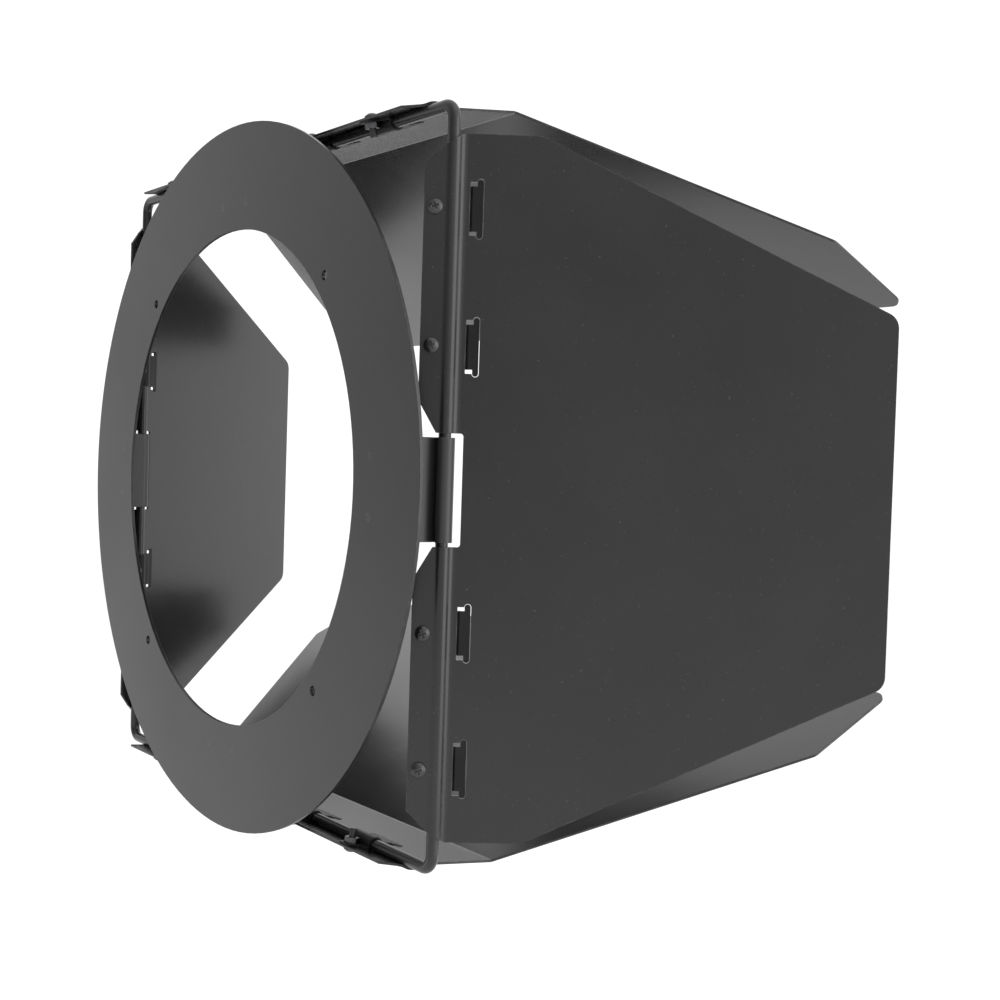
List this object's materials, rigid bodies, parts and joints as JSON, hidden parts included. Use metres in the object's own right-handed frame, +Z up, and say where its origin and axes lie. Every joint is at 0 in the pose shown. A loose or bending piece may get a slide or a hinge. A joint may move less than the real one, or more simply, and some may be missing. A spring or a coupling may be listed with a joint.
{
  "type": "barn door attachment",
  "caption": "Barn door attachment for a stage light: flat ring, square rod frame and folding black sheet leaves held on the rods by screwed clips.",
  "frame": {"origin": "centre of the mounting ring's back face, on the beam axis", "axes": "+X along the beam, away from the light; +Z up; +Y to the left as seen from behind the light"},
  "size_m": [0.2186, 0.5038, 0.327],
  "materials": {
    "ring_paint": "satin black powder coat",
    "rod_paint": "satin black paint on round rod",
    "bracket_paint": "satin black powder coat",
    "rivet_metal": "black rivet heads",
    "leaf_paint": "fine-textured satin black powder coat, light wear at edges",
    "clip_paint": "satin black paint",
    "screw_black": "black oxide with lighter worn rims",
    "nut_metal": "dark plated steel"
  },
  "bodies": {
    "frame": {"mounting_ring": "ring_paint", "rod_frame": "rod_paint", "bracket_rivets": "rivet_metal", "bracket_top": "bracket_paint", "bracket_right": "bracket_paint", "bracket_bottom": "bracket_paint", "bracket_left": "bracket_paint"},
    "top_door": {"top_leaf": "leaf_paint", "top_clip_1": "clip_paint", "top_clip_2": "clip_paint", "top_clip_3": "clip_paint", "top_clip_4": "clip_paint", "top_screws": "screw_black", "top_nuts": "nut_metal"},
    "right_door": {"right_leaf": "leaf_paint", "right_clip_1": "clip_paint", "right_clip_2": "clip_paint", "right_clip_3": "clip_paint", "right_clip_4": "clip_paint", "right_screws": "screw_black", "right_nuts": "nut_metal"},
    "bottom_door": {"bottom_leaf": "leaf_paint", "bottom_clip_1": "clip_paint", "bottom_clip_2": "clip_paint", "bottom_clip_3": "clip_paint", "bottom_clip_4": "clip_paint", "bottom_screws": "screw_black", "bottom_nuts": "nut_metal"},
    "left_door": {"left_leaf": "leaf_paint", "left_clip_1": "clip_paint", "left_clip_2": "clip_paint", "left_clip_3": "clip_paint", "left_clip_4": "clip_paint", "left_screws": "screw_black", "left_nuts": "nut_metal"}
  },
  "joints": [
    {"name": "top_hinge", "type": "hinge", "parent": "frame", "child": "top_door", "pos_m": [0.02, 0, 0.15], "axis": [0, -1, 0], "range_deg": [-22, 100]},
    {"name": "right_hinge", "type": "hinge", "parent": "frame", "child": "right_door", "pos_m": [0.02, -0.15, 0], "axis": [0, 0, -1], "range_deg": [-92, 85]},
    {"name": "bottom_hinge", "type": "hinge", "parent": "frame", "child": "bottom_door", "pos_m": [0.02, 0, -0.15], "axis": [0, 1, 0], "range_deg": [-22, 100]},
    {"name": "left_hinge", "type": "hinge", "parent": "frame", "child": "left_door", "pos_m": [0.02, 0.15, 0], "axis": [0, 0, 1], "range_deg": [-92, 85]}
  ]
}
